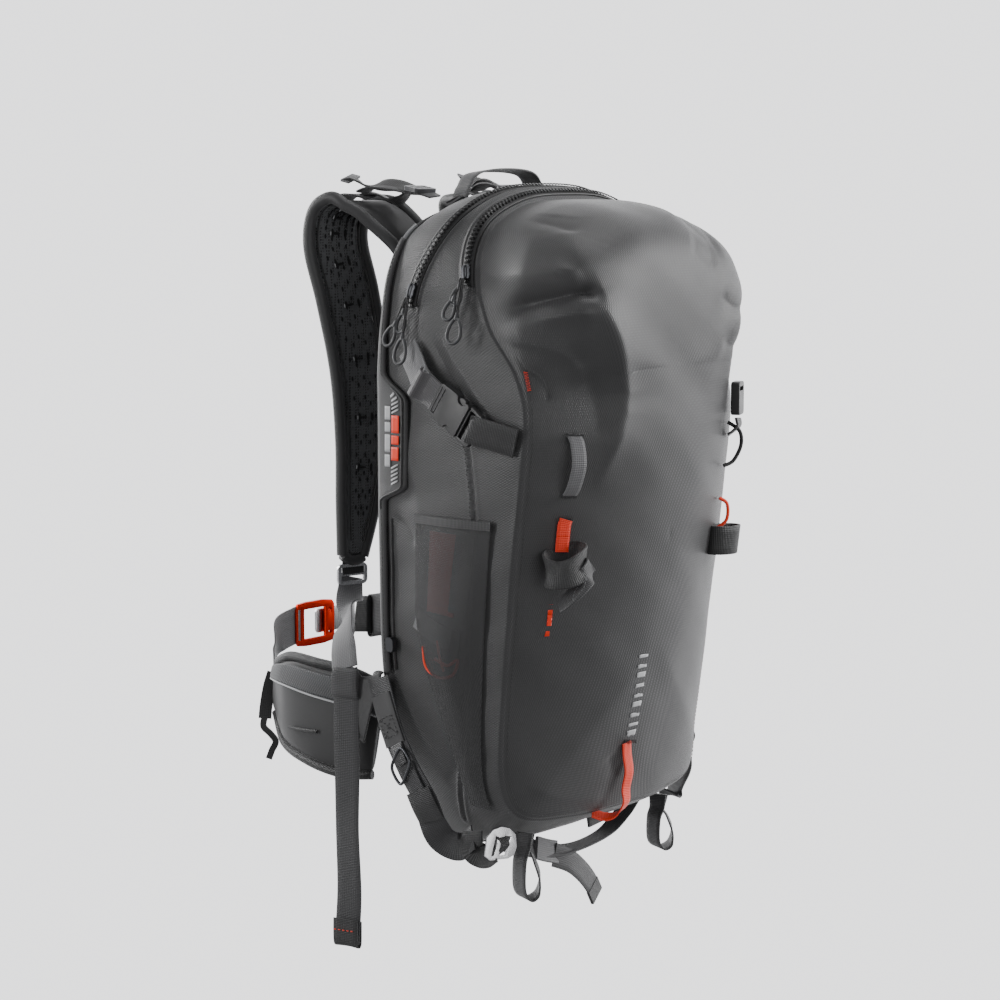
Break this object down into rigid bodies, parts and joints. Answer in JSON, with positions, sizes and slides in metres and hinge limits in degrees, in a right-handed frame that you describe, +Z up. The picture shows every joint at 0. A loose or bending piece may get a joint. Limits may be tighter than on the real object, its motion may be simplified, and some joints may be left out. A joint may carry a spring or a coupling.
{
  "type": "avalanche airbag backpack",
  "caption": "Avalanche airbag backpack with harness, hip belt, ski and axe carry straps, zipped compartments and an electric inflation system inside.",
  "frame": {"origin": "where a hook bears under the middle of the haul loop", "axes": "+X towards the wearer's right, +Y towards the wearer out of the back pad, +Z up"},
  "size_m": [0.336, 0.4272, 0.6985],
  "materials": {
    "pack_cloth": "matt coated twill",
    "pad_mesh": "matt knitted mesh over foam",
    "webbing": "satin woven webbing",
    "airbag_nylon": "satin ripstop",
    "buckle_plastic": "satin moulded",
    "zip_coil": "satin",
    "slider_metal": "satin",
    "red_aluminium": "anodised",
    "bare_aluminium": "polished",
    "housing_plastic": "matt",
    "sheet_plastic": "matt",
    "orange_plastic": "satin moulded"
  },
  "bodies": {
    "pack": {"front_panel": "pack_cloth", "base_panel": "pack_cloth", "top_panel": "pack_cloth", "left_side_panel": "pack_cloth", "right_side_panel": "pack_cloth", "left_airbag_flap": "pack_cloth", "back_pad": "pad_mesh", "mesh_pocket": "pad_mesh", "left_strap_arm": "pad_mesh", "right_strap_arm": "pad_mesh", "haul_loop": "webbing", "base_strap": "webbing", "left_upper_strap": "webbing", "right_upper_strap": "webbing", "left_lower_strap": "webbing", "right_lower_strap": "webbing", "left_ski_strap": "webbing", "right_ski_strap": "webbing", "left_load_lifter": "webbing", "right_load_lifter": "webbing", "left_anchor_strap": "webbing", "right_anchor_strap": "webbing", "trigger_cable": "buckle_plastic", "pole_cord": "buckle_plastic", "left_buckle_male": "buckle_plastic", "right_buckle_male": "buckle_plastic", "main_zip_tape": "zip_coil", "pocket_zip_tape": "zip_coil", "flat_hook": "bare_aluminium", "folded_airbag": "airbag_nylon", "blower_housing": "housing_plastic", "power_pack": "housing_plastic", "frame_sheet": "sheet_plastic"},
    "main_zip_slider": {"main_zip_slider": "slider_metal"},
    "main_zip_pull": {"main_zip_pull": "buckle_plastic"},
    "pocket_zip_slider": {"pocket_zip_slider": "slider_metal"},
    "pocket_zip_pull": {"pocket_zip_pull": "buckle_plastic"},
    "airbag_zip_slider": {"airbag_zip_slider": "slider_metal"},
    "left_side_buckle": {"left_buckle_female": "buckle_plastic"},
    "right_side_buckle": {"right_buckle_female": "buckle_plastic"},
    "harness": {"left_shoulder_strap": "pad_mesh", "right_shoulder_strap": "pad_mesh", "left_ladder_lock": "bare_aluminium", "right_ladder_lock": "bare_aluminium", "sternum_left_web": "webbing", "sternum_right_web": "webbing", "sternum_female": "buckle_plastic"},
    "sternum_male": {"sternum_male": "buckle_plastic"},
    "trigger_handle": {"trigger_handle": "orange_plastic"},
    "hip_belt": {"left_hip_wing": "pad_mesh", "right_hip_wing": "pad_mesh", "left_belt_web": "webbing", "right_belt_web": "webbing", "waist_buckle_frame": "red_aluminium"},
    "waist_hook": {"waist_buckle_hook": "bare_aluminium"},
    "left_tail": {"left_strap_tail": "webbing"},
    "right_tail": {"right_strap_tail": "webbing"},
    "left_axe_loop": {"left_axe_loop": "webbing"},
    "right_axe_loop": {"right_axe_loop": "webbing"},
    "impeller": {"impeller": "housing_plastic"}
  },
  "joints": [
    {"name": "main_zip_slide", "type": "slide", "parent": "pack", "child": "main_zip_slider", "axis": [0.1739, -0.1787, 0.9684], "range_m": [0, 0.012]},
    {"name": "main_zip_pull_swing", "type": "hinge", "parent": "main_zip_slider", "child": "main_zip_pull", "pos_m": [-0.14656, -0.01996, -0.11092], "axis": [0.0742, 0.9972, 0], "range_deg": [0, 130]},
    {"name": "pocket_zip_slide", "type": "slide", "parent": "pack", "child": "pocket_zip_slider", "axis": [0.281, 0.2485, 0.927], "range_m": [0, 0.012]},
    {"name": "pocket_zip_pull_swing", "type": "hinge", "parent": "pocket_zip_slider", "child": "pocket_zip_pull", "pos_m": [-0.14269, -0.07934, -0.09284], "axis": [-0.1257, 0.9921, 0], "range_deg": [0, 130]},
    {"name": "airbag_zip_slide", "type": "slide", "parent": "pack", "child": "airbag_zip_slider", "axis": [-0.0498, 0.0064, 0.9987], "range_m": [0, 0.02]},
    {"name": "left_side_buckle_release", "type": "slide", "parent": "pack", "child": "left_side_buckle", "axis": [0.0216, 0.8386, 0.5443], "range_m": [0, 0.024]},
    {"name": "right_side_buckle_release", "type": "slide", "parent": "pack", "child": "right_side_buckle", "axis": [-0.0216, 0.8386, 0.5443], "range_m": [0, 0.024]},
    {"name": "harness_swing", "type": "hinge", "parent": "pack", "child": "harness", "pos_m": [0, 0.10134, -0.0218], "axis": [1, 0, 0], "range_deg": [0, 40]},
    {"name": "sternum_buckle_release", "type": "slide", "parent": "harness", "child": "sternum_male", "axis": [1, 0, 0], "range_m": [0, 0.02]},
    {"name": "trigger_pull", "type": "slide", "parent": "harness", "child": "trigger_handle", "axis": [0.1185, -0.1037, -0.9875], "range_m": [0, 0.045]},
    {"name": "hip_belt_tilt", "type": "hinge", "parent": "pack", "child": "hip_belt", "pos_m": [0, 0.03734, -0.5028], "axis": [1, 0, 0], "range_deg": [-8, 6]},
    {"name": "waist_buckle_release", "type": "slide", "parent": "hip_belt", "child": "waist_hook", "axis": [0, 1, 0], "range_m": [0, 0.018]},
    {"name": "left_tail_swing", "type": "hinge", "parent": "pack", "child": "left_tail", "pos_m": [-0.1525, 0.05084, -0.4478], "axis": [-0.2, 0.9798, 0], "range_deg": [0, 70]},
    {"name": "right_tail_swing", "type": "hinge", "parent": "pack", "child": "right_tail", "pos_m": [0.1525, 0.05084, -0.4478], "axis": [-0.2, -0.9798, 0], "range_deg": [0, 70]},
    {"name": "left_axe_loop_swing", "type": "hinge", "parent": "pack", "child": "left_axe_loop", "pos_m": [-0.0882, -0.13696, -0.5758], "axis": [0, -1, 0], "range_deg": [0, 40]},
    {"name": "right_axe_loop_swing", "type": "hinge", "parent": "pack", "child": "right_axe_loop", "pos_m": [0.0882, -0.13696, -0.5758], "axis": [0, 1, 0], "range_deg": [0, 40]},
    {"name": "impeller_spin", "type": "hinge", "parent": "pack", "child": "impeller", "pos_m": [0, -0.01816, -0.3148], "axis": [0, -1, 0], "continuous": true}
  ]
}
